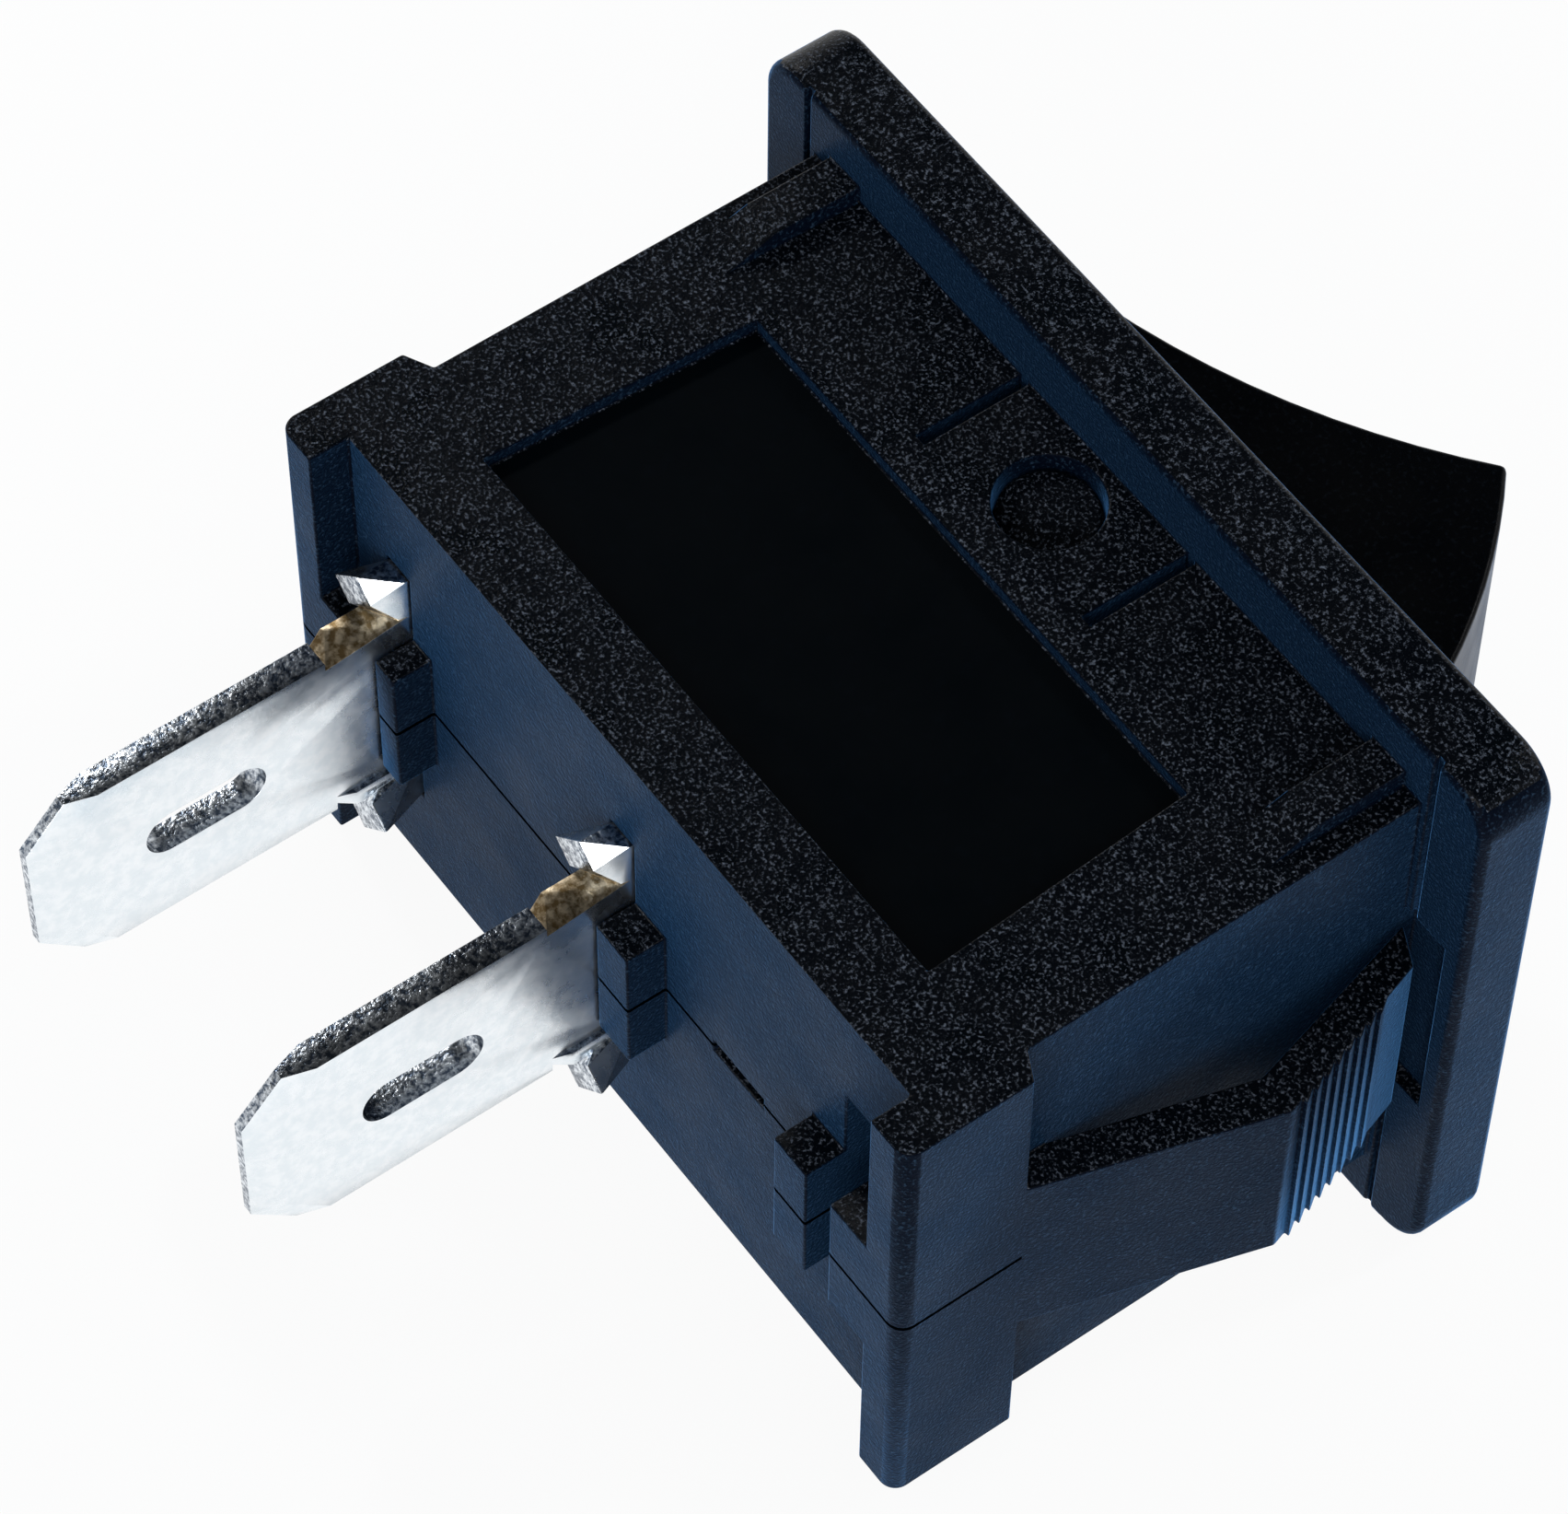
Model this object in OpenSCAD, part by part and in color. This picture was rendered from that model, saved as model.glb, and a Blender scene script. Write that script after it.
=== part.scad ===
// Panel rocker switch: snap-in housing with a rocker, a see-saw contact lever and
// push-on tabs. X runs along the flange, +Y to the front, +Z out of the rating side.
// The origin is the centre of the flange's back face.

/* [Flange] */
// Length of the flange
flange_l = 21; // [20:0.1:23]
// Height of the flange
flange_h = 15; // [14.4:0.1:17]
// Thickness of the flange
flange_t = 1.6; // [1.2:0.1:2.4]
// Corner radius of the flange
flange_r = 1; // [0.6:0.1:1.8]
// Depth of the relief behind each snap arm
relief_depth = 0.3; // [0.2:0.05:0.5]
// Reach of that relief beyond the end wall
relief_reach = 1.1; // [0.95:0.05:1.3]
// Distance of the two thin grooves on the flange's back from the end wall
groove_out = 0.17; // [0.12:0.01:0.3]
// Width of those grooves
groove_w = 0.14; // [0.08:0.02:0.2]
// Depth of those grooves
groove_d = 0.12; // [0.06:0.02:0.2]

/* [Body] */
// Length of the body behind the flange
body_l = 17.76; // [17.6:0.01:18.2]
// Height of the body
body_h = 11.9; // [11.7:0.05:12.5]
// Depth of the body from the flange to the terminal face
body_d = 10.65; // [10.4:0.05:12]
// Thickness of the two end walls
end_wall = 0.88; // [0.7:0.02:0.9]
// Thickness of the two side walls
side_wall = 0.85; // [0.75:0.05:0.9]
// Thickness of the floor behind the mechanism
floor_t = 1.3; // [1.2:0.05:1.5]

/* [Lips] */
// Height of the lips and guide blocks over the terminal face
lip_rise = 0.85; // [0.6:0.05:1.2]
// Distance that a lip stands out from the end wall
lip_out = 0.58; // [0.4:0.02:0.8]
// Width of the lip on the terminal face
lip_in = 0.43; // [0.3:0.01:0.6]
// Length of the lip along the end wall
lip_back = 1.85; // [1.5:0.05:2.2]
// Radius of the lip's outer edge
lip_r = 0.35; // [0.2:0.05:0.5]
// Slant of the lip's front end
lip_slant = 0.3; // [0.2:0.05:0.5]

/* [Rating recess] */
// Length of the shallow recess at the terminal side
recess_l = 13.3; // [11:0.1:14]
// How much each end of the recess draws in towards the flange
recess_taper = 0.3; // [0:0.05:0.4]
// Depth of the recess along the body
recess_w = 5.8; // [4:0.1:6]
// Distance of the recess from the flange
recess_y = 3.15; // [3.1:0.05:4]
// How deep the recess is cut
recess_cut = 0.3; // [0.15:0.05:0.35]

/* [Wedge ribs] */
// Distance of each rib's outer side from the middle
rib_x = 8.4; // [8.1:0.05:8.7]
// Width of a rib
rib_w = 0.9; // [0.6:0.05:1.1]
// Height of a rib
rib_h = 0.4; // [0.2:0.05:0.6]
// Length of a rib from the flange to the foot of its ramp
rib_l = 3.05; // [2.5:0.05:3.1]
// Length of the rib's ramp
ramp_l = 1.15; // [0.8:0.05:1.6]

/* [Pivot] */
// Distance of the pivot behind the flange's back face
pivot_back = 1.3; // [1.25:0.05:1.6]
// Diameter of the rocker's pivot pins
pin_d = 2; // [1.6:0.05:2.2]
// Radial clearance of a pin in its hole
pin_gap = 0.05; // [0.02:0.01:0.08]
// Depth of a pin's end below the side of the body
pin_sink = 0.35; // [0.1:0.05:0.4]
// Height of the lead-in ramp on a pin's end
pin_ramp = 0.4; // [0.2:0.05:0.5]
// Distance of the spring slits from the pivot
slit_x = 2.45; // [2.1:0.05:3]
// Width of a spring slit
slit_w = 0.25; // [0.15:0.05:0.4]
// Length of a spring slit
slit_l = 2.35; // [2:0.05:2.8]

/* [Snap arms] */
// Width of a snap arm
arm_w = 4.7; // [3.5:0.1:5.2]
// Thickness of a snap arm
arm_t = 0.78; // [0.6:0.02:0.85]
// Reach of the arm's peak beyond the end wall
arm_reach = 2.02; // [1.9:0.02:2.2]
// Distance of the peak behind the flange
peak_y = 4.1; // [3.8:0.1:4.6]
// Distance of the free end behind the flange
tip_y = 0.5; // [0.3:0.05:0.8]
// Gap between the free end and the end wall
tip_gap = 0.14; // [0.1:0.02:0.3]
// Number of grip teeth on an arm
teeth = 9; // [5:1:10]
// Height of a grip tooth
tooth_h = 0.12; // [0.08:0.01:0.15]

/* [Rocker] */
// Tilt of the rocker at rest
rest_tilt = 20; // [17:0.5:20]
// Height of the dished front over the pivot
front_rise = 4.9; // [4.6:0.1:5.2]
// Radius of the dished front
front_r = 17.5; // [15:0.1:20]
// Distance of an end face from the pivot
end_x = 7.63; // [7.4:0.01:7.66]
// Radius of the bowed end faces
end_r = 13.2; // [12:0.1:14]
// Depth of the rocker's skirt below the pivot
skirt = 0.6; // [0.4:0.05:0.8]
// Wall thickness of the rocker
rocker_wall = 0.9; // [0.7:0.05:1]
// Running gap between the rocker's sides and the housing
side_gap = 0.1; // [0.06:0.01:0.2]
// Radius of the lug round each pivot pin
lug_r = 1.9; // [1.6:0.05:2.1]
// Length of the spring barrel below the pivot
barrel_l = 4.2; // [3.8:0.1:4.3]
// Wall thickness of the spring barrel
barrel_wall = 0.7; // [0.5:0.05:0.9]

/* [Spring and plunger] */
// Diameter of the plunger
plunger_d = 2; // [1.8:0.05:2.1]
// Radial clearance of the plunger in the barrel
plunger_gap = 0.05; // [0.03:0.01:0.08]
// Radius of the plunger's rounded nose
nose_r = 0.8; // [0.7:0.05:0.9]
// Length of the plunger's stem
plunger_l = 3.1; // [2.8:0.1:3.4]
// Wire diameter of the spring
wire_d = 0.26; // [0.2:0.02:0.3]
// Number of turns of the spring
turns = 6; // [4:1:7]
// Length of the fitted spring
spring_l = 3.4; // [3:0.1:3.8]

/* [Contact lever] */
// Thickness of the lever's strip
lever_t = 0.5; // [0.4:0.05:0.55]
// Width of the lever
lever_w = 5; // [4.6:0.1:6]
// Length of each lever arm
lever_l = 6.2; // [5.9:0.1:6.4]
// Height of a level arm over the lever's axis
arm_rise = 0.3; // [0.25:0.05:0.35]
// Inner radius of the lever's trough
trough_r = 2.6; // [2.55:0.01:2.65]
// Running gap under the plunger's nose
nose_gap = 0.1; // [0.08:0.01:0.15]
// Height of the lever's axis over the floor
axis_rise = 1.35; // [1.35:0.01:1.4]
// Width of the notches in the lever's waist
waist = 0.9; // [0.8:0.05:1]
// Gap between the lever's waist and the posts
post_gap = 0.25; // [0.15:0.05:0.4]
// Swing of the lever
lever_swing = 20; // [18:0.5:20]

/* [Contacts] */
// Distance of the contacts from the lever's axis
contact_x = 5.2; // [4.9:0.05:5.3]
// Diameter of the moving contact
moving_d = 2.2; // [1.6:0.1:2.3]
// Thickness of the moving contact
moving_t = 0.5; // [0.4:0.02:0.52]
// Diameter of the fixed contact
fixed_d = 2.4; // [2:0.1:2.6]
// Gap left between closed contacts
touch_gap = 0.02; // [0.01:0.005:0.04]

/* [Tabs] */
// Distance between neighbouring tabs
tab_pitch = 7.05; // [7:0.01:7.1]
// Width of a tab
tab_w = 4.75; // [4.6:0.05:4.8]
// Thickness of a tab
tab_t = 0.6; // [0.5:0.02:0.62]
// Length of a tab beyond the terminal face
tab_l = 8.25; // [7.5:0.05:9.5]
// Length of the bevelled corners at the tab's tip
tip_l = 0.9; // [0.8:0.05:1.4]
// Width of the bevelled corners at the tab's tip
tip_w = 0.95; // [0.8:0.05:1.3]
// Length of the coined lead-in round the tab's tip
coin_l = 0.45; // [0.3:0.05:0.6]
// Depth of the coined lead-in on each face
coin_d = 0.19; // [0.1:0.01:0.24]
// Width of the round-ended hole
eye_w = 1.1; // [0.9:0.05:1.4]
// Length of the round-ended hole
eye_l = 2.6; // [2:0.1:3]
// Distance from the tip to the round-ended hole
eye_tip = 2.35; // [2.2:0.05:3]
// Height of a tab's root with its locking ears
ear_h = 6.9; // [6.6:0.05:7]
// Length of the upper locking ear beyond the terminal face
ear_l = 0.72; // [0.6:0.02:1]
// Length of the lower locking ear beyond the terminal face
low_ear_l = 1.3; // [1:0.05:1.5]
// Twist of the locking ears
ear_twist = 45; // [30:1:50]
// How far a twisted ear leans out beside the blade
ear_lean = 0.45; // [0.3:0.05:0.6]
// Length of the torn step between an ear and the blade's edge
tear_l = 1.85; // [1.5:0.05:2.4]
// Depth of the torn step below the blade's edge
tear_d = 0.2; // [0.1:0.02:0.35]
// How far the torn metal stands out beside the blade
tear_out = 0.12; // [0.05:0.01:0.2]
// Height of a tab's shoulders on the floor
shoulder_h = 8; // [7.6:0.1:8.6]
// Clearance of a tab in its slot
slot_gap = 0.05; // [0.03:0.01:0.08]

/* [Guide blocks] */
// Height of the guide blocks on the terminal face
block_h = 3.4; // [2.8:0.1:4]
// Width of the two narrow blocks in the middle bays
block_w = 0.95; // [0.6:0.05:1.1]
// Width of the block beside the left tab
left_block_w = 0.6; // [0.5:0.05:0.8]
// Length of the moulding gate mark
gate_l = 1.5; // [1:0.1:2]
// Width of the moulding gate mark
gate_w = 0.3; // [0.2:0.05:0.4]

/* [Hidden] */
$fn = 64;
cut = 0.5;
half_body = body_l / 2;
half_h = body_h / 2;
open_x = half_body - end_wall;
open_z = half_h - side_wall;
face_y = -body_d;
floor_y = face_y + floor_t;
lip_y = face_y - lip_rise;
lip_x = half_body + lip_out;
lip_end = lip_y + lip_rise + lip_back;
pivot_y = -pivot_back;
pin_r = pin_d / 2;
pin_hole_r = pin_r + pin_gap;
pin_end = half_h - pin_sink;
rocker_z = open_z - side_gap;
peak_x = half_body + arm_reach;
axis_y = floor_y + axis_rise;
tab_end_x = -tab_pitch;
slot_half = tab_t / 2 + slot_gap;
slot_h = ear_h + 2 * slot_gap;
bore_r = plunger_d / 2 + plunger_gap;
barrel_r = bore_r + barrel_wall;
trough_top = arm_rise + touch_gap + lever_t;
nose_reach = pivot_y - axis_y - trough_top - nose_gap;
nose_c = nose_reach - nose_r;
plunger_top = nose_c - plunger_l;
bore_top = plunger_top - spring_l;
level_y = axis_y + arm_rise;
contact_y = level_y - moving_t - touch_gap;
foot_y = floor_y + tab_t;
stop_y = level_y - touch_gap;
half_swing = lever_swing / 2;
trough_half = 58;
ear_w = (ear_h - tab_w) / 2;
ear_mid = (ear_h + tab_w) / 4;

module box(x0, x1, y0, y1, z0, z1) {
  translate([x0, y0, z0])
    cube([x1 - x0, y1 - y0, z1 - z0]);
}

module rounded_plate(l, h, t, r) {
  rotate([-90, 0, 0])
    linear_extrude(t)
      union() {
        square([l - 2 * r, h], center = true);
        square([l, h - 2 * r], center = true);
        for (sx = [-1, 1], sz = [-1, 1])
          translate([sx * (l / 2 - r), sz * (h / 2 - r)])
            circle(r);
      }
}

// Flange with a relief behind the free end of each snap arm
module flange() {
  difference() {
    rounded_plate(flange_l, flange_h, flange_t, flange_r);
    both_ends() {
      box(half_body - cut, half_body + relief_reach, -cut, relief_depth,
        -arm_w / 2 - relief_depth, arm_w / 2 + relief_depth);
      box(half_body + groove_out, half_body + groove_out + groove_w, -cut, groove_d,
        -flange_h, flange_h);
    }
  }
}

module both_sides() {
  children();
  mirror([0, 0, 1])
    children();
}

module both_ends() {
  children();
  mirror([1, 0, 0])
    children();
}

// End lip: rounded outer edge, slanted front end
module lip() {
  slant_y = lip_end + lip_slant;
  translate([0, 0, -half_h])
    linear_extrude(body_h)
      union() {
        polygon([
          [half_body - lip_in, lip_y],
          [lip_x - lip_r, lip_y],
          [lip_x - lip_r, lip_y + lip_r],
          [lip_x, lip_y + lip_r],
          [lip_x, lip_end],
          [half_body, slant_y],
          [half_body - lip_in, slant_y]
        ]);
        translate([lip_x - lip_r, lip_y + lip_r])
          circle(lip_r);
      }
}

// Snap arm: leaf that leaves the lip outward, turns at its peak and returns to the wall
// with a row of grip teeth
module arm() {
  ramp_end_x = half_body + tip_gap + arm_t;
  tooth_p = (peak_y - tip_y - arm_t) / teeth;
  slope = (peak_x - ramp_end_x) / (peak_y - tip_y);
  root_y = lip_end;
  grip = [
    for (i = [1 : teeth], step = [0, 1])
      [peak_x - slope * tooth_p * i + (i < teeth ? step * tooth_h : 0), -peak_y + tooth_p * i]
  ];
  translate([0, 0, -arm_w / 2])
    linear_extrude(arm_w)
      polygon(concat(
        [
          [lip_x - arm_t, root_y - arm_t],
          [lip_x - tooth_h, root_y - arm_t],
          [lip_x, root_y],
          [peak_x, -peak_y]
        ],
        [for (i = [0 : len(grip) - 2]) grip[i]],
        [
          [ramp_end_x, -tip_y],
          [half_body + tip_gap, -tip_y + arm_t / 2],
          [peak_x - arm_t * 1.1, -peak_y],
          [lip_x - arm_t * 0.9, root_y + arm_t / 2]
        ]
      ));
}

module rib() {
  rotate([90, 0, 90])
    translate([0, 0, rib_x - rib_w])
      linear_extrude(rib_w)
        polygon([
          [-rib_l, half_h - cut],
          [-rib_l, half_h],
          [-rib_l + ramp_l, half_h + rib_h],
          [0, half_h + rib_h],
          [0, half_h - cut]
        ]);
}

module tab_slot(x) {
  box(x - slot_half, x + slot_half, face_y - cut, floor_y + cut, -slot_h / 2, slot_h / 2);
}

module housing() {
  color([0.05, 0.06, 0.08])
    difference() {
      union() {
        flange();
        box(-half_body, half_body, face_y, cut, -half_h, half_h);
        both_ends() {
          lip();
          arm();
          both_sides()
            rib();
        }
        // Guide blocks beside the tabs
        box(tab_end_x + slot_half, tab_end_x + slot_half + left_block_w, lip_y, floor_y,
          -block_h / 2, block_h / 2);
        box(slot_half, slot_half + block_w, lip_y, floor_y, -block_h / 2, block_h / 2);
        box(tab_pitch - slot_half - block_w, tab_pitch - slot_half, lip_y, floor_y,
          -block_h / 2, block_h / 2);
        both_ends()
          box(tab_pitch + slot_half, half_body, lip_y, floor_y, -block_h / 2, block_h / 2);
      }
      // Well for the rocker and the mechanism
      difference() {
        box(-open_x, open_x, floor_y, flange_t + cut, -open_z, open_z);
        // Stop under the lever's idle arm
        box(contact_x - moving_d / 2, contact_x + moving_d / 2, floor_y - cut, stop_y,
          -lever_w / 2, lever_w / 2);
      }
      // Pivot holes and the slits that let the walls spring
      translate([0, pivot_y, -half_h - cut])
        cylinder(h = body_h + 2 * cut, r = pin_hole_r);
      both_ends()
        box(slit_x - slit_w / 2, slit_x + slit_w / 2, -slit_l, 0, -half_h - cut, half_h + cut);
      // Shallow recess for a rating text
      translate([0, 0, half_h - recess_cut])
        linear_extrude(recess_cut + cut)
          polygon([
            [-recess_l / 2, -recess_y - recess_w],
            [recess_l / 2, -recess_y - recess_w],
            [recess_l / 2 - recess_taper, -recess_y],
            [-recess_l / 2 + recess_taper, -recess_y]
          ]);
      tab_slot(tab_end_x);
      tab_slot(0);
      tab_slot(tab_pitch);
      // Gate mark
      box(tab_pitch / 2 - gate_l / 2, tab_pitch / 2 + gate_l / 2, face_y - cut,
        face_y + gate_w, -gate_w / 2, gate_w / 2);
    }
}

// Side profile of the rocker, level, with the pivot at the origin; inset thins it
module rocker_profile(inset) {
  end_c = end_x - end_r;
  end_y = -skirt / 2;
  top = front_rise + front_r;
  difference() {
    intersection() {
      translate([end_c, end_y])
        circle(end_r - inset, $fn = 180);
      translate([-end_c, end_y])
        circle(end_r - inset, $fn = 180);
      translate([-end_x, -skirt])
        square([2 * end_x, 2 * front_rise]);
    }
    translate([0, top])
      circle(front_r + inset, $fn = 180);
  }
}

// Pivot pin with a ramp on the side that goes into the housing first
module pin() {
  difference() {
    translate([0, 0, rocker_z - rocker_wall])
      cylinder(h = pin_end - rocker_z + rocker_wall, r = pin_r);
    rotate([90, 0, 90])
      translate([0, 0, -2 * pin_r])
        linear_extrude(4 * pin_r)
          polygon([
            [0, pin_end],
            [-2 * pin_r, pin_end - 2 * pin_ramp],
            [-2 * pin_r, pin_end + cut],
            [0, pin_end + cut]
          ]);
  }
}

module rocker_level() {
  difference() {
    union() {
      difference() {
        union() {
          translate([0, 0, -rocker_z])
            linear_extrude(2 * rocker_z)
              rocker_profile(0);
          translate([0, 0, -rocker_z])
            cylinder(h = 2 * rocker_z, r = lug_r);
        }
        translate([0, 0, -rocker_z + rocker_wall])
          linear_extrude(2 * (rocker_z - rocker_wall))
            union() {
              rocker_profile(rocker_wall);
              translate([-end_x + 2 * rocker_wall, -lug_r - cut])
                square([2 * (end_x - 2 * rocker_wall), lug_r + cut]);
            }
      }
      both_sides()
        pin();
      rotate([90, 0, 0])
        translate([0, 0, -front_rise + rocker_wall / 2])
          cylinder(h = front_rise - rocker_wall / 2 + barrel_l, r = barrel_r);
      // Webs that carry the barrel
      translate([0, 0, -rocker_wall / 2])
        linear_extrude(rocker_wall)
          intersection() {
            rocker_profile(rocker_wall / 2);
            translate([-end_x, front_rise / 2])
              square([2 * end_x, front_rise]);
          }
      box(-rocker_wall / 2, rocker_wall / 2, 0, front_rise - rocker_wall / 2,
        -rocker_z + rocker_wall / 2, rocker_z - rocker_wall / 2);
    }
    rotate([90, 0, 0])
      translate([0, 0, bore_top])
        cylinder(h = barrel_l - bore_top + cut, r = bore_r);
  }
}

// Puts a level piece on the pivot at the rest tilt
module at_rest() {
  translate([0, pivot_y, 0])
    rotate([0, 0, rest_tilt])
      children();
}

module rocker() {
  color([0.04, 0.04, 0.05])
    at_rest()
      rocker_level();
}

// Height along the spring after a number of turns; the end turns lie closed
function coil_rise(turn) =
  let (
    shut = wire_d * 1.04,
    open = (spring_l - wire_d - 2 * shut) / (turns - 2)
  )
  turn < 1 ? turn * shut
  : turn > turns - 1 ? spring_l - wire_d - (turns - turn) * shut
  : shut + (turn - 1) * open;

// Wound wire, with an eight-sided section swept along its helix
module spring() {
  wire_sides = 8;
  per_turn = 12;
  steps = turns * per_turn;
  coil_r = bore_r - wire_d / 2 - plunger_gap;
  points = [
    for (i = [0 : steps], k = [0 : wire_sides - 1])
      let (
        turn = i / per_turn,
        side = 360 * k / wire_sides,
        reach = coil_r + wire_d / 2 * cos(side)
      )
      [
        reach * cos(360 * turn),
        reach * sin(360 * turn),
        coil_rise(turn) + wire_d / 2 * sin(side)
      ]
  ];
  skin = [
    for (i = [0 : steps - 1], k = [0 : wire_sides - 1], half = [0, 1])
      let (
        a = i * wire_sides + k,
        b = i * wire_sides + (k + 1) % wire_sides
      )
      half == 0 ? [a, b, a + wire_sides] : [b, b + wire_sides, a + wire_sides]
  ];
  start = [for (k = [0 : wire_sides - 1]) wire_sides - 1 - k];
  end = [for (k = [0 : wire_sides - 1]) steps * wire_sides + k];
  color([0.7, 0.71, 0.74])
    at_rest()
      rotate([90, 0, 0])
        translate([0, 0, bore_top + wire_d / 2])
          polyhedron(points, concat([start], skin, [end]));
}

module plunger() {
  stem_l = barrel_l - plunger_top + nose_r / 2;
  color([0.86, 0.86, 0.82])
    at_rest()
      rotate([90, 0, 0])
        translate([0, 0, plunger_top])
          rotate_extrude()
            union() {
              square([plunger_d / 2, stem_l]);
              square([nose_r, plunger_l]);
              intersection() {
                translate([0, plunger_l])
                  circle(nose_r);
                square([nose_r, plunger_l + nose_r]);
              }
            }
}

// Half of the lever with its arm level; the trough is turned with it
module lever_side() {
  trough_c = trough_top + trough_r;
  union() {
    box(lever_t * 2, lever_l, arm_rise, arm_rise + lever_t, -lever_w / 2, lever_w / 2);
    rotate([0, 0, -half_swing])
      intersection() {
        difference() {
          translate([0, trough_c, -lever_w / 2])
            cylinder(h = lever_w, r = trough_r + lever_t, $fn = 180);
          translate([0, trough_c, -lever_w / 2 - cut])
            cylinder(h = lever_w + 2 * cut, r = trough_r, $fn = 180);
          // Waist that passes between the posts of the common tab
          both_sides()
            box(-waist, waist, -cut, trough_c, lever_w / 2 - waist, lever_w / 2 + cut);
        }
        translate([0, trough_c, -lever_w / 2])
          linear_extrude(lever_w)
            polygon([
              [-tab_t / 4, -2 * trough_r],
              [2 * trough_r * sin(trough_half), -2 * trough_r],
              [2 * trough_r * sin(trough_half), -2 * trough_r * cos(trough_half)],
              [0, 0],
              [-tab_t / 4, 0]
            ]);
      }
  }
}

module contact_lever() {
  color([0.84, 0.66, 0.36])
    translate([0, axis_y, 0])
      union() {
        lever_side();
        rotate([0, 0, -lever_swing])
          mirror([1, 0, 0])
            lever_side();
      }
}

module moving_contact() {
  color([0.85, 0.85, 0.87])
    translate([0, axis_y, 0])
      rotate([0, 0, -lever_swing])
        translate([-contact_x, arm_rise, 0])
          rotate([90, 0, 0])
            cylinder(h = moving_t, r = moving_d / 2);
}

module fixed_contact() {
  color([0.85, 0.85, 0.87])
    translate([-contact_x, contact_y, 0])
      rotate([90, 0, 0])
        cylinder(h = contact_y - foot_y, r = fixed_d / 2);
}

// Cuts that thin both faces along one edge of a tab's tip
module coining() {
  for (face = [0, 1])
    mirror([face, 0, 0])
      linear_extrude(2 * tab_w, center = true)
        polygon([
          [tab_t / 2 - 1.5 * coin_d, -coin_l / 2],
          [tab_t / 2 + coin_d / 2, 1.5 * coin_l],
          [tab_t / 2 + coin_d / 2, -coin_l / 2]
        ]);
}

// Tab with its bevelled and coined tip, round-ended hole and locking ears
module blade() {
  end_y = face_y - tab_l;
  eye_r = eye_w / 2;
  eye_y = end_y + eye_tip + eye_r;
  difference() {
    rotate([0, 90, 0])
      translate([0, 0, -tab_t / 2])
        linear_extrude(tab_t)
          difference() {
            polygon([
              [-tab_w / 2 + tip_w, end_y],
              [tab_w / 2 - tip_w, end_y],
              [tab_w / 2, end_y + tip_l],
              [tab_w / 2, face_y - tear_l],
              [tab_w / 2 - tear_d, face_y - tear_l],
              [tab_w / 2 - tear_d, face_y],
              [ear_h / 2, face_y],
              [ear_h / 2, floor_y],
              [-ear_h / 2, floor_y],
              [-ear_h / 2, face_y],
              [-tab_w / 2 + tear_d, face_y],
              [-tab_w / 2 + tear_d, face_y - tear_l],
              [-tab_w / 2, face_y - tear_l],
              [-tab_w / 2, end_y + tip_l]
            ]);
            translate([0, eye_y])
              circle(eye_r, $fn = 32);
            translate([0, eye_y + eye_l - eye_w])
              circle(eye_r, $fn = 32);
            translate([-eye_r, eye_y])
              square([eye_w, eye_l - eye_w]);
          }
    translate([0, end_y, 0])
      coining();
    both_sides()
      translate([0, end_y, tab_w / 2 - tip_w])
        rotate([-atan2(tip_l, tip_w), 0, 0])
          coining();
  }
  ear(ear_l);
  rotate([0, 180, 0])
    ear(low_ear_l);
}

// Locking ear, twisted out of the slot's line, and the torn metal that led to it
module ear(reach) {
  leaf = 0.05;
  half_t = tab_t / 2;
  torn_z = tab_w / 2 - tear_d;
  hull() {
    box(-half_t, half_t, face_y - leaf, face_y + leaf, torn_z - leaf, ear_h / 2);
    translate([-ear_lean, 0, ear_mid])
      rotate([0, ear_twist, 0])
        box(-half_t, half_t, face_y - reach, face_y - reach + leaf, -ear_w / 2, ear_w / 2);
  }
  hull() {
    box(-half_t, half_t, face_y - tear_l, face_y - tear_l + leaf, torn_z - tear_d, torn_z);
    box(-half_t - tear_out, -half_t, face_y - 0.8 * tear_l, face_y - 2 * leaf,
      torn_z - tear_d, torn_z + tear_d);
    box(-half_t, half_t, face_y - leaf, face_y + leaf, torn_z - tear_d, torn_z + tear_d);
  }
}

module shoulders(x) {
  box(x - tab_t / 2, x + tab_t / 2, floor_y, foot_y, -shoulder_h / 2, shoulder_h / 2);
}

module tab_end() {
  foot_end = -contact_x + fixed_d / 2;
  color([0.8, 0.82, 0.86])
    union() {
      translate([tab_end_x, 0, 0])
        blade();
      shoulders(tab_end_x);
      box(tab_end_x - tab_t / 2, foot_end, floor_y, foot_y, -tab_w / 2, tab_w / 2);
    }
}

module tab_common() {
  edge_r = tab_t / 2;
  post_z = lever_w / 2 - waist + post_gap;
  post_y = axis_y + trough_top + lever_t;
  color([0.8, 0.82, 0.86])
    union() {
      blade();
      shoulders(0);
      box(-edge_r, edge_r, floor_y, axis_y, -tab_w / 2, tab_w / 2);
      translate([0, axis_y, -tab_w / 2])
        cylinder(h = tab_w, r = edge_r, $fn = 32);
      // Posts that keep the lever on its edge
      both_sides()
        box(-edge_r, edge_r, floor_y, post_y, post_z, post_z + waist);
    }
}

housing();
rocker();
spring();
plunger();
contact_lever();
moving_contact();
fixed_contact();
tab_end();
tab_common();
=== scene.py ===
import bpy
import math
from mathutils import Matrix, Vector


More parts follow.
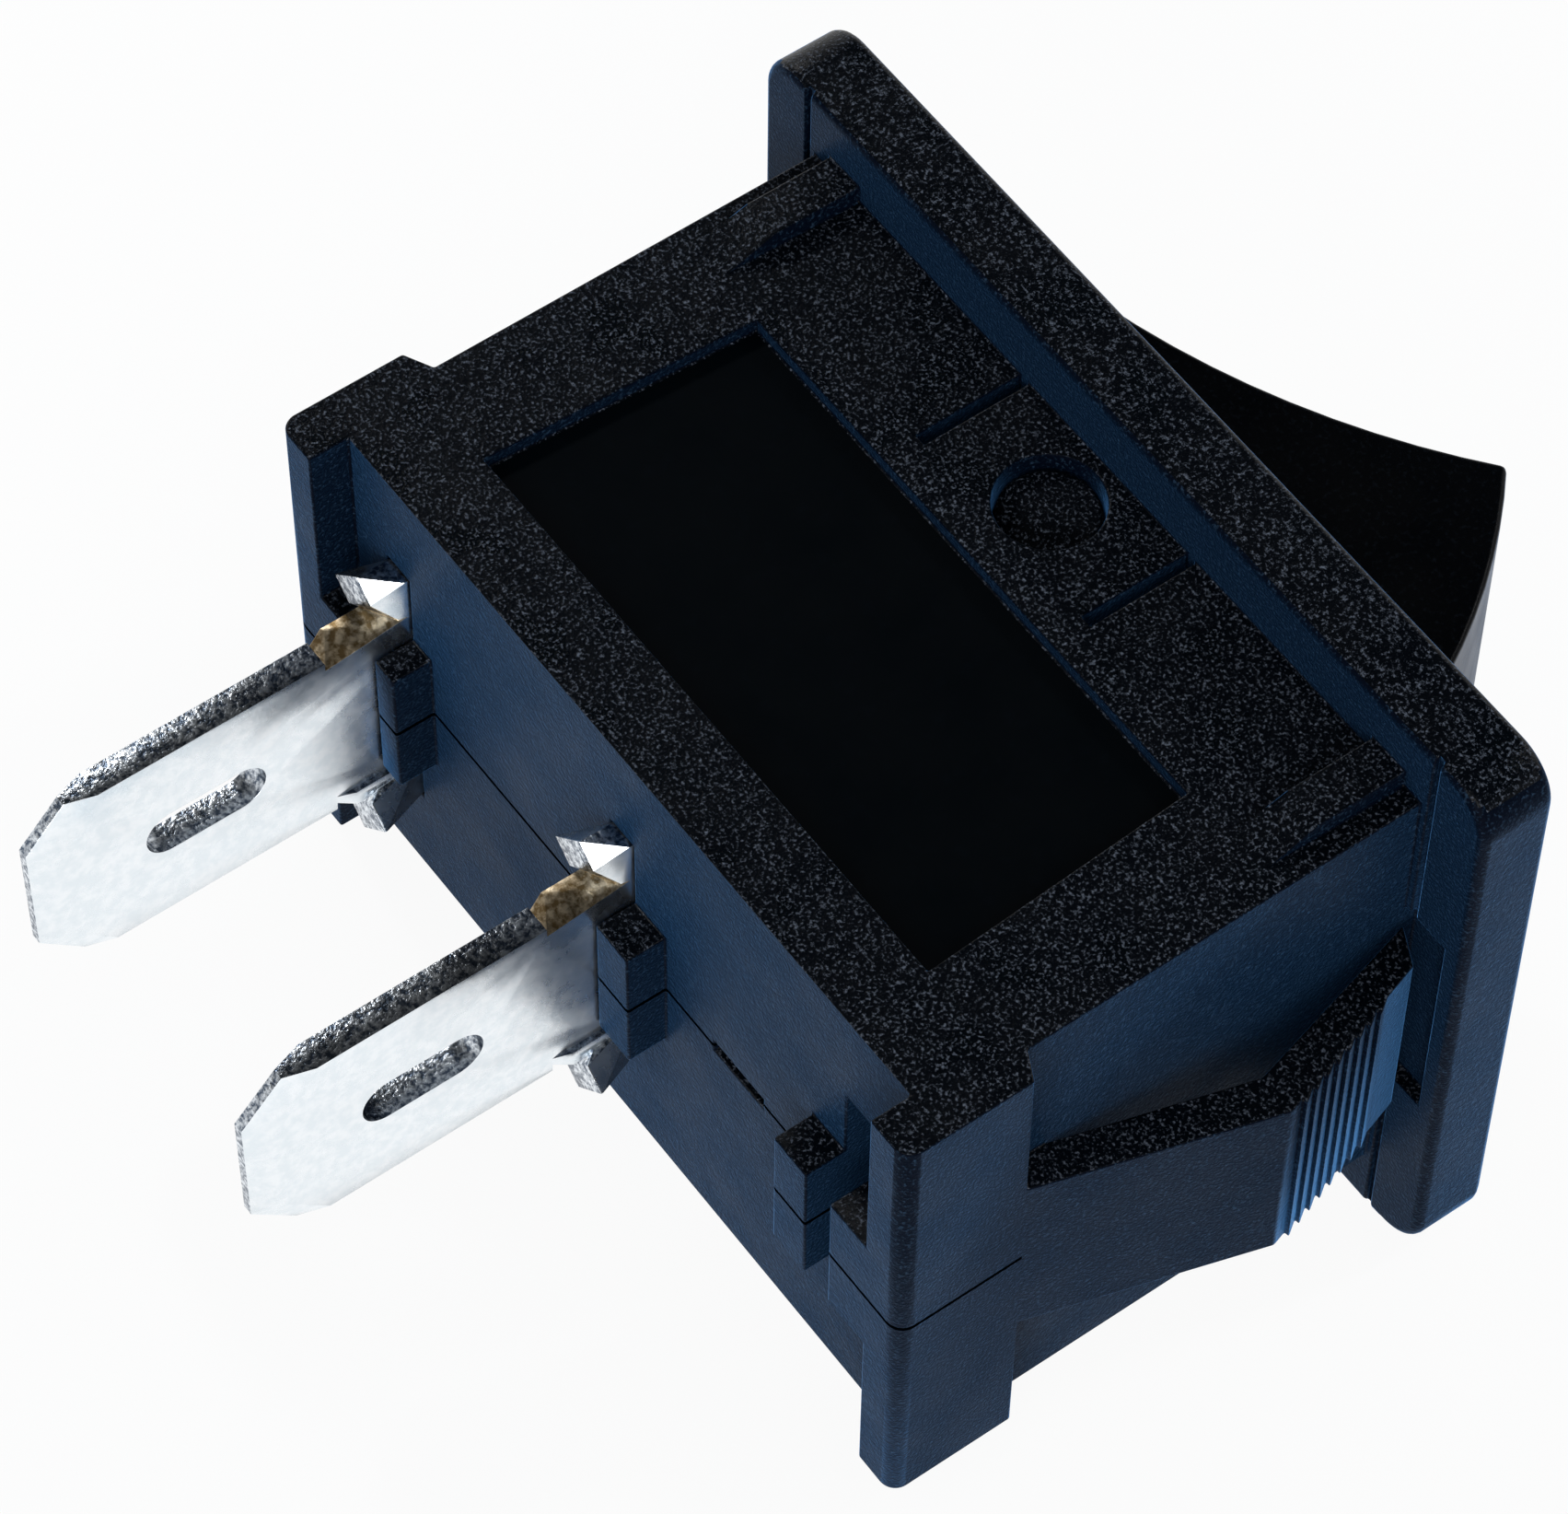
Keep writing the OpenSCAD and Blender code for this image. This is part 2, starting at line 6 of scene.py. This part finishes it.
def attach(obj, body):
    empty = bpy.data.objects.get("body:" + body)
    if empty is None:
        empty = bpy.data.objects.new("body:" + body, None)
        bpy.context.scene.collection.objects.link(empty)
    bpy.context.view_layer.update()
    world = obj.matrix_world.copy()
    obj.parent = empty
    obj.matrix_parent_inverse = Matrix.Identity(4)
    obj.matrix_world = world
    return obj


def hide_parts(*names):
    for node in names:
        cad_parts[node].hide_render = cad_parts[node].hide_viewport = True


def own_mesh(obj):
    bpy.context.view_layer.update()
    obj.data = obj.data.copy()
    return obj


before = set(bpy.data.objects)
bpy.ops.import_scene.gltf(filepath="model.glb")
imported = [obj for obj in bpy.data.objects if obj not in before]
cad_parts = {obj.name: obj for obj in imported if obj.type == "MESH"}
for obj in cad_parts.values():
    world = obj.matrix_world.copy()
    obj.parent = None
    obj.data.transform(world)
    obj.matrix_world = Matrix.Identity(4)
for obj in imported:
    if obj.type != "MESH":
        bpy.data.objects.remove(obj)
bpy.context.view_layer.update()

# Camera
# A long lens looks down on the terminal side from the front right corner, so that
# the flange runs from the top left to the right and the tabs point to the left.
azimuth, elevation, roll = math.radians(-36.5755), math.radians(55.9473), math.radians(0.7409)
aim = Vector((-0.00097466, -0.00639013, 0.0010419))
away = Vector((math.cos(elevation) * math.cos(azimuth),
               math.cos(elevation) * math.sin(azimuth), math.sin(elevation)))
side = Vector((0, 0, 1)).cross(away).normalized()
above = away.cross(side)
turned_side = side * math.cos(roll) + above * math.sin(roll)
turned_above = above * math.cos(roll) - side * math.sin(roll)
lens = bpy.data.cameras.new("camera")
lens.lens = 150.14
lens.sensor_width = 36
lens.clip_start = 0.005
lens.clip_end = 10
camera = bpy.data.objects.new("camera", lens)
bpy.context.scene.collection.objects.link(camera)
distance = 0.1192517
camera.matrix_world = Matrix.Translation(aim + away * distance) @ Matrix((
    turned_side, turned_above, away)).transposed().to_4x4()
bpy.context.scene.camera = camera
bpy.context.scene.view_settings.view_transform = "Standard"

# Floor
# A smooth white studio floor. The switch lies on the rear edge of its flange and on
# the ends of its lips, so the floor leans against both and keeps the part's shadow.
flange_edge, lip_edge, lip_depth = 0.0075, 0.00595, 0.0115
floor_gap = 0.00002
lean = math.atan2(flange_edge - lip_edge, lip_depth)
bpy.ops.object.select_all(action="DESELECT")
bpy.ops.mesh.primitive_plane_add(size=4, location=(0, 0, -flange_edge - floor_gap),
                                 rotation=(-lean, 0, 0))
floor = bpy.context.object
floor.name = "floor"
floor_paint = bpy.data.materials.new("floor_paint")
floor_paint.use_nodes = True
nodes, links = floor_paint.node_tree.nodes, floor_paint.node_tree.links
nodes.clear()
paint = nodes.new("ShaderNodeBsdfDiffuse")
paint.inputs["Color"].default_value = (0.86, 0.87, 0.88, 1)
glow = nodes.new("ShaderNodeEmission")
glow.inputs["Color"].default_value = (1, 1, 1, 1)
glow.inputs["Strength"].default_value = 1.0
rays = nodes.new("ShaderNodeLightPath")
seen = nodes.new("ShaderNodeMath")
seen.operation = "MAXIMUM"
through = nodes.new("ShaderNodeMath")
through.operation = "MAXIMUM"
share = nodes.new("ShaderNodeMath")
share.operation = "MULTIPLY"
share.inputs[1].default_value = 0.93
mixed = nodes.new("ShaderNodeMixShader")
surface = nodes.new("ShaderNodeOutputMaterial")
links.new(rays.outputs["Is Camera Ray"], seen.inputs[0])
links.new(rays.outputs["Is Glossy Ray"], seen.inputs[1])
links.new(seen.outputs[0], through.inputs[0])
links.new(rays.outputs["Is Transmission Ray"], through.inputs[1])
links.new(through.outputs[0], share.inputs[0])
links.new(share.outputs[0], mixed.inputs[0])
links.new(paint.outputs[0], mixed.inputs[1])
links.new(glow.outputs[0], mixed.inputs[2])
links.new(mixed.outputs[0], surface.inputs["Surface"])
floor.data.materials.append(floor_paint)

# Studio light
# A soft even room that is white low down and dark overhead in reflections. One broad
# lamp stands on the camera's side, and two small ones behind it make the glints.
room = bpy.data.worlds.new("room")
bpy.context.scene.world = room
room.use_nodes = True
nodes, links = room.node_tree.nodes, room.node_tree.links
nodes.clear()
rays = nodes.new("ShaderNodeLightPath")
where = nodes.new("ShaderNodeTexCoord")
height = nodes.new("ShaderNodeSeparateXYZ")
ceiling = nodes.new("ShaderNodeMapRange")
ceiling.inputs["From Min"].default_value = 0.1
ceiling.inputs["From Max"].default_value = 0.5
ceiling.inputs["To Min"].default_value = 1.0
ceiling.inputs["To Max"].default_value = 0.01
plain = nodes.new("ShaderNodeBackground")
plain.inputs["Color"].default_value = (0.9, 0.95, 1, 1)
plain.inputs["Strength"].default_value = 0.5
mirrored = nodes.new("ShaderNodeBackground")
mirrored.inputs["Color"].default_value = (1, 1, 1, 1)
backdrop = nodes.new("ShaderNodeBackground")
backdrop.inputs["Color"].default_value = (1, 1, 1, 1)
backdrop.inputs["Strength"].default_value = 1.0
glossy_mix = nodes.new("ShaderNodeMixShader")
camera_mix = nodes.new("ShaderNodeMixShader")
clear = nodes.new("ShaderNodeMath")
clear.operation = "MAXIMUM"
surface = nodes.new("ShaderNodeOutputWorld")
links.new(where.outputs["Generated"], height.inputs[0])
links.new(height.outputs["Z"], ceiling.inputs["Value"])
links.new(ceiling.outputs[0], mirrored.inputs["Strength"])
links.new(rays.outputs["Is Glossy Ray"], glossy_mix.inputs[0])
links.new(plain.outputs[0], glossy_mix.inputs[1])
links.new(mirrored.outputs[0], glossy_mix.inputs[2])
links.new(rays.outputs["Is Camera Ray"], clear.inputs[0])
links.new(rays.outputs["Is Transmission Ray"], clear.inputs[1])
links.new(clear.outputs[0], camera_mix.inputs[0])
links.new(glossy_mix.outputs[0], camera_mix.inputs[1])
links.new(backdrop.outputs[0], camera_mix.inputs[2])
links.new(camera_mix.outputs[0], surface.inputs["Surface"])


def studio_lamp(name, place, size, watts):
    lamp = bpy.data.lights.new(name, "AREA")
    lamp.size = size
    lamp.energy = watts
    holder = bpy.data.objects.new(name, lamp)
    bpy.context.scene.collection.objects.link(holder)
    holder.matrix_world = Matrix.Translation(place) @ (
        Vector(place) - aim).to_track_quat("Z", "Y").to_matrix().to_4x4()


studio_lamp("broad_lamp", (0.45, -0.5, 0.28), 0.4, 3.0)
studio_lamp("glint_lamp", (-0.3, 0.02, 0.22), 0.04, 0.3)
studio_lamp("second_glint_lamp", (0.06, 0.32, 0.2), 0.04, 0.3)


# Housing
# One moulding of black nylon: flange, body, end lips, snap arms and guide blocks. Its
# long sides are coarsely eroded and its ends finely; the mould halves meet in a line.
# Its finishes are lit and shaded copies of one plastic. The ends have a lighter blue base
# and a blue sheen, a painted reflection of the white floor. The long sides have a
# near-black base, which is painted shade, and light specks, which are painted glints. The
# parting line is a dark band of painted shade.
def noise(nodes, links, place, scale, detail=2.0, roughness=0.5):
    grain = nodes.new("ShaderNodeTexNoise")
    grain.inputs["Scale"].default_value = scale
    grain.inputs["Detail"].default_value = detail
    grain.inputs["Roughness"].default_value = roughness
    links.new(place, grain.inputs["Vector"])
    return grain.outputs["Fac"]


def remap(nodes, links, value, from_min, from_max, to_min, to_max):
    ramp = nodes.new("ShaderNodeMapRange")
    for name, number in (("From Min", from_min), ("From Max", from_max),
                         ("To Min", to_min), ("To Max", to_max)):
        ramp.inputs[name].default_value = number
    links.new(value, ramp.inputs["Value"])
    return ramp.outputs[0]


def two_tone(nodes, links, factor, first, second):
    tone = nodes.new("ShaderNodeMix")
    tone.data_type = "RGBA"
    tone.inputs["A"].default_value = (*first, 1)
    tone.inputs["B"].default_value = (*second, 1)
    links.new(factor, tone.inputs["Factor"])
    return tone.outputs["Result"]


def relief(nodes, links, height, distance, below=None):
    bump = nodes.new("ShaderNodeBump")
    bump.inputs["Strength"].default_value = 1.0
    bump.inputs["Distance"].default_value = distance
    links.new(height, bump.inputs["Height"])
    if below is not None:
        links.new(below, bump.inputs["Normal"])
    return bump.outputs[0]


def moulded_plastic(name, dark, light, gloss, level, painted_sheen, grain_scale, grain_depth):
    material = bpy.data.materials.new(name)
    material.use_nodes = True
    nodes, links = material.node_tree.nodes, material.node_tree.links
    shader = nodes["Principled BSDF"]
    shader.inputs["Specular IOR Level"].default_value = level
    # The blue-tinted sheen is a painted reflection: it brightens faces seen at a slant in blue, as
    # the white floor's reflection does.
    shader.inputs["Sheen Weight"].default_value = painted_sheen
    shader.inputs["Sheen Roughness"].default_value = 0.3
    shader.inputs["Sheen Tint"].default_value = (0.14, 0.45, 1, 1)
    place = nodes.new("ShaderNodeTexCoord").outputs["Object"]
    cloud = noise(nodes, links, place, 700, 3)
    fine = noise(nodes, links, place, grain_scale, 3, 0.65)
    tone = remap(nodes, links, fine, 0.54, 0.76, 0, 1)
    links.new(two_tone(nodes, links, tone, dark, light), shader.inputs["Base Color"])
    links.new(remap(nodes, links, cloud, 0.3, 0.7, gloss - 0.06, gloss + 0.06),
              shader.inputs["Roughness"])
    waves = relief(nodes, links, noise(nodes, links, place, 400, 2), 0.00001)
    links.new(relief(nodes, links, fine, grain_depth, waves), shader.inputs["Normal"])
    return material


def dressed_copy(node, name, merge_angle):
    bpy.ops.object.select_all(action="DESELECT")
    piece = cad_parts[node].copy()
    piece.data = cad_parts[node].data.copy()
    bpy.context.scene.collection.objects.link(piece)
    piece.name = name
    piece.parent = None
    piece.matrix_world = Matrix.Identity(4)
    piece.select_set(True)
    bpy.context.view_layer.objects.active = piece
    bpy.ops.object.mode_set(mode="EDIT")
    bpy.ops.mesh.select_all(action="SELECT")
    bpy.ops.mesh.remove_doubles(threshold=0.000002)
    bpy.ops.mesh.dissolve_limited(angle_limit=math.radians(merge_angle))
    bpy.ops.object.mode_set(mode="OBJECT")
    piece.data.materials.clear()
    return piece


def round_edges(piece, width, segments, angle=28, weighted=False, clamped=False):
    rounding = piece.modifiers.new("edge_rounding", "BEVEL")
    rounding.width = width
    rounding.segments = segments
    rounding.limit_method = "WEIGHT" if weighted else "ANGLE"
    rounding.angle_limit = math.radians(angle)
    rounding.use_clamp_overlap = clamped
    bpy.ops.object.modifier_apply(modifier="edge_rounding")


def even_shading(piece, angle):
    bpy.ops.object.shade_smooth_by_angle(angle=math.radians(angle))
    even_light = piece.modifiers.new("even_light", "WEIGHTED_NORMAL")
    even_light.keep_sharp = True
    even_light.weight = 100
    bpy.ops.object.modifier_apply(modifier="even_light")


# Painted light: the end faces' lighter blue base and strong sheen are a painted reflection of the
# floor; the long sides' near-black base is painted shade, and their light specks are painted
# glints.
end_grain_painted_light = moulded_plastic("end_grain_painted_light", (0.0008, 0.002, 0.006), (0.022, 0.045, 0.08),
                            0.42, 0.02, 0.75, 13000, 0.000016)
side_grain_painted_shade_and_glints = moulded_plastic("side_grain_painted_shade_and_glints", (0.0005, 0.0014, 0.003), (0.12, 0.14, 0.18),
                             0.3, 0.1, 0.0, 15000, 0.000014)
recess_smooth = moulded_plastic("recess_smooth", (0.0002, 0.0012, 0.0022), (0.0004, 0.0016, 0.003),
                                0.5, 0.04, 0.0, 3000, 0.0000005)
# The parting line is a near-black band with no sheen: painted shade of a fine groove.
mould_line_painted_shade = moulded_plastic("mould_line_painted_shade", (0.0002, 0.0006, 0.0012), (0.0004, 0.001, 0.002),
                             0.6, 0.0, 0.0, 3000, 0.0000005)
housing = dressed_copy("housing", "housing_moulding", 1)
# The flange's outer edges are rounded more than the rest.
outer = housing.data.attributes.new("bevel_weight_edge", "FLOAT", "EDGE")
for edge in housing.data.edges:
    ends = [housing.data.vertices[v].co for v in edge.vertices]
    level = min(abs(ends[0].y - y) for y in (0, 0.0016)) < 0.000001
    if level and abs(ends[0].y - ends[1].y) < 0.000001 and all(
            abs(p.x) > 0.01049 or abs(p.z) > 0.00749
            or (abs(p.x) > 0.0095 and abs(p.z) > 0.0065) for p in ends):
        outer.data[edge.index].value = 1.0
round_edges(housing, 0.0002, 3, weighted=True)
round_edges(housing, 0.00005, 2)
half_line = 0.00005
for edge_of_line in (half_line, -half_line):
    bpy.ops.object.mode_set(mode="EDIT")
    bpy.ops.mesh.select_all(action="SELECT")
    bpy.ops.mesh.bisect(plane_co=(0, 0, edge_of_line), plane_no=(0, 0, 1),
                        threshold=0.000001)
    bpy.ops.object.mode_set(mode="OBJECT")
even_shading(housing, 35)
for finish in (end_grain_painted_light, side_grain_painted_shade_and_glints, recess_smooth, mould_line_painted_shade):
    housing.data.materials.append(finish)
top, recess_depth, surface_skin = 0.00595, 0.0004, 0.00001
recess_back, recess_front = -0.0091, -0.003
line_end = -0.0087
# Faces turned up or down take the painted-shade finish with painted glints; all other faces take
# the finish lit by painted reflection.
for face in housing.data.polygons:
    place = face.center
    if abs(face.normal.z) > 0.7:
        face.material_index = 1
    sunk = top - recess_depth < place.z < top - surface_skin
    if face.normal.z > 0.99 and sunk and recess_back < place.y < recess_front:
        face.material_index = 2
    if abs(place.z) < half_line and place.y < line_end and abs(face.normal.z) < 0.5:
        face.material_index = 3
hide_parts("housing")
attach(housing, "base")

# Rocker
# One moulding of black plastic with a dished front, hung in the housing on two pins.
# Its sides and front are satin, and its front edges are softly rounded. Its sides are
# painted near black as painted shade; its front and ends are lighter, with a blue sheen
# as painted reflection.
rocker_front_painted_light = moulded_plastic("rocker_front_painted_light", (0.0006, 0.0015, 0.0035), (0.003, 0.006, 0.012),
                               0.35, 0.1, 0.25, 9000, 0.000004)
rocker_side_painted_shade = moulded_plastic("rocker_side_painted_shade", (0.0003, 0.0008, 0.0016), (0.004, 0.006, 0.009),
                              0.4, 0.05, 0.0, 9000, 0.000004)
rocker = dressed_copy("rocker", "rocker_moulding", 1)
round_edges(rocker, 0.00012, 3, angle=35)
even_shading(rocker, 35)
for finish in (rocker_front_painted_light, rocker_side_painted_shade, side_grain_painted_shade_and_glints):
    rocker.data.materials.append(finish)
pivot = Vector((0, -0.0013, 0))
pin_face, pin_reach = 0.00515, 0.00105
# Faces turned up or down take the darker painted-shade copy; the pin ends take the housing's
# painted-shade finish.
for face in rocker.data.polygons:
    if abs(face.normal.z) > 0.7:
        face.material_index = 1
    if abs(face.center.z) > pin_face and (face.center.xy - pivot.xy).length < pin_reach:
        face.material_index = 2
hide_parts("rocker")
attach(rocker, "rocker")

# Rocker marks
# A bar and a ring stamped in white ink on the dished front: the bar at the end that
# is pressed for on, the ring at the end that is pressed for off.
ink = bpy.data.materials.new("white_ink")
ink.use_nodes = True
nodes, links = ink.node_tree.nodes, ink.node_tree.links
shader = nodes["Principled BSDF"]
place = nodes.new("ShaderNodeTexCoord").outputs["Object"]
links.new(two_tone(nodes, links, noise(nodes, links, place, 6000, 3),
                   (0.62, 0.64, 0.65), (0.84, 0.85, 0.85)), shader.inputs["Base Color"])
links.new(remap(nodes, links, noise(nodes, links, place, 2500), 0.3, 0.7, 0.4, 0.6),
          shader.inputs["Roughness"])
links.new(relief(nodes, links, noise(nodes, links, place, 9000), 0.000003),
          shader.inputs["Normal"])
rest_tilt = math.radians(20)
bar_size = (0.0024, 0.0004, 1)
ring_radius, ring_line = 0.0012, 0.0002
mark_height = 0.0058
for name, along, outline in (("on_bar", 0.0042, "bar"), ("off_ring", -0.0042, "ring")):
    bpy.ops.object.select_all(action="DESELECT")
    if outline == "bar":
        bpy.ops.mesh.primitive_grid_add(x_subdivisions=16, y_subdivisions=2, size=1)
        mark = bpy.context.object
        mark.scale = bar_size
        bpy.ops.object.transform_apply(location=False, rotation=False, scale=True)
    else:
        bpy.ops.mesh.primitive_circle_add(vertices=64, radius=ring_radius, fill_type="NGON")
        mark = bpy.context.object
        bpy.ops.object.mode_set(mode="EDIT")
        bpy.ops.mesh.select_all(action="SELECT")
        bpy.ops.mesh.inset(thickness=ring_line)
        bpy.ops.mesh.inset(thickness=ring_line)
        bpy.ops.mesh.delete(type="FACE")
        bpy.ops.object.mode_set(mode="OBJECT")
    mark.name = name
    mark.matrix_world = (Matrix.Translation(pivot) @ Matrix.Rotation(rest_tilt, 4, "Z")
                         @ Matrix.Translation((along, mark_height, 0))
                         @ Matrix.Rotation(-math.pi / 2, 4, "X") @ mark.matrix_world)
    bpy.ops.object.transform_apply(location=True, rotation=True, scale=True)
    hug = mark.modifiers.new("hug", "SHRINKWRAP")
    hug.target = rocker
    hug.wrap_method = "NEAREST_SURFACEPOINT"
    hug.wrap_mode = "ABOVE_SURFACE"
    hug.offset = 0.000004
    bpy.ops.object.modifier_apply(modifier="hug")
    film = mark.modifiers.new("film", "SOLIDIFY")
    film.thickness = 0.000016
    film.offset = 1
    bpy.ops.object.modifier_apply(modifier="film")
    mark.data.materials.append(ink)
    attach(mark, "rocker")

# Tabs
# Stamped from brass strip and tin plated, then pushed through the floor and locked by
# two ears twisted out of the slot's line. The torn steps beside the ears show brass.
def bare_metal(name, dark, light, smooth, rough, grain_scale, grain_depth, wide_depth):
    material = bpy.data.materials.new(name)
    material.use_nodes = True
    nodes, links = material.node_tree.nodes, material.node_tree.links
    shader = nodes["Principled BSDF"]
    shader.inputs["Metallic"].default_value = 1
    place = nodes.new("ShaderNodeTexCoord").outputs["Object"]
    cloud = noise(nodes, links, place, 900, 4, 0.6)
    grain = noise(nodes, links, place, grain_scale, 3, 0.6)
    links.new(two_tone(nodes, links, remap(nodes, links, grain, 0.4, 0.62, 0, 1), dark, light),
              shader.inputs["Base Color"])
    links.new(remap(nodes, links, cloud, 0.3, 0.7, smooth, rough), shader.inputs["Roughness"])
    wide = relief(nodes, links, noise(nodes, links, place, 600, 3, 0.6), wide_depth)
    links.new(relief(nodes, links, grain, grain_depth, wide), shader.inputs["Normal"])
    return material


tin = bare_metal("tin_plate", (0.84, 0.9, 0.94), (0.93, 0.97, 1.0), 0.2, 0.36,
                 3500, 0.000002, 0.000008)
# The strip's cut edges are painted near black as painted shade, with light specks as painted
# glints.
tin_edge_painted_shade_and_glints = bare_metal("tin_edge_painted_shade_and_glints", (0.1, 0.13, 0.18), (0.85, 0.9, 0.95), 0.22, 0.35,
                      9000, 0.00002, 0.00001)
torn_brass = bare_metal("torn_brass", (0.3, 0.2, 0.09), (0.97, 0.8, 0.55), 0.3, 0.5,
                        6000, 0.00001, 0.00001)
torn_back, torn_front = -0.01256, -0.0107
torn_low, torn_high = 0.0018, 0.0024
cut_edge_front = -0.0105
for name in ("tab_end", "tab_common"):
    tab = dressed_copy(name, name + "_plated", 2)
    round_edges(tab, 0.00005, 3, angle=25, clamped=True)
    bpy.ops.object.shade_smooth_by_angle(angle=math.radians(38))
    for finish in (tin, tin_edge_painted_shade_and_glints, torn_brass):
        tab.data.materials.append(finish)
    # Torn steps show brass; the narrow cut edges outside the body take the painted shade and
    # glints.
    for face in tab.data.polygons:
        place, turn = face.center, face.normal
        torn = torn_back < place.y < torn_front and torn_low < place.z < torn_high
        if torn and turn.z > 0.35:
            face.material_index = 2
        elif place.y < cut_edge_front and abs(turn.x) < 0.6:
            face.material_index = 1
    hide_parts(name)
    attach(tab, "base")

# Contacts
# The see-saw lever is bare brass strip. The moving contact is pressed through it and
# the fixed one is welded to the end tab, both silver, dulled by handling.
lever_brass = bare_metal("lever_brass", (0.66, 0.45, 0.17), (0.82, 0.6, 0.28), 0.22, 0.4,
                         3000, 0.000002, 0.000006)
contact_silver = bare_metal("contact_silver", (0.78, 0.77, 0.73), (0.95, 0.94, 0.91),
                            0.2, 0.35, 4000, 0.000002, 0.000004)
for name, finish in (("contact_lever", lever_brass), ("moving_contact", contact_silver),
                     ("fixed_contact", contact_silver)):
    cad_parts[name].data.materials.clear()
    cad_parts[name].data.materials.append(finish)

# Spring and plunger
# A drawn steel wire spring sits in the rocker's barrel and pushes the plunger, a round
# nosed pin of natural white nylon, against the lever. It shortens with the plunger.
spring_steel = bare_metal("spring_steel", (0.4, 0.41, 0.43), (0.62, 0.63, 0.65), 0.2, 0.35,
                          5000, 0.000002, 0.000002)
white_nylon = moulded_plastic("white_nylon", (0.66, 0.65, 0.59), (0.78, 0.77, 0.71),
                              0.45, 0.4, 0.0, 6000, 0.000003)
coil = dressed_copy("spring", "spring_coil", 0)
bpy.ops.object.shade_smooth_by_angle(angle=math.radians(60))
coil.data.materials.append(spring_steel)
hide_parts("spring")
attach(coil, "rocker")
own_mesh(coil)
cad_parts["plunger"].data.materials.clear()
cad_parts["plunger"].data.materials.append(white_nylon)
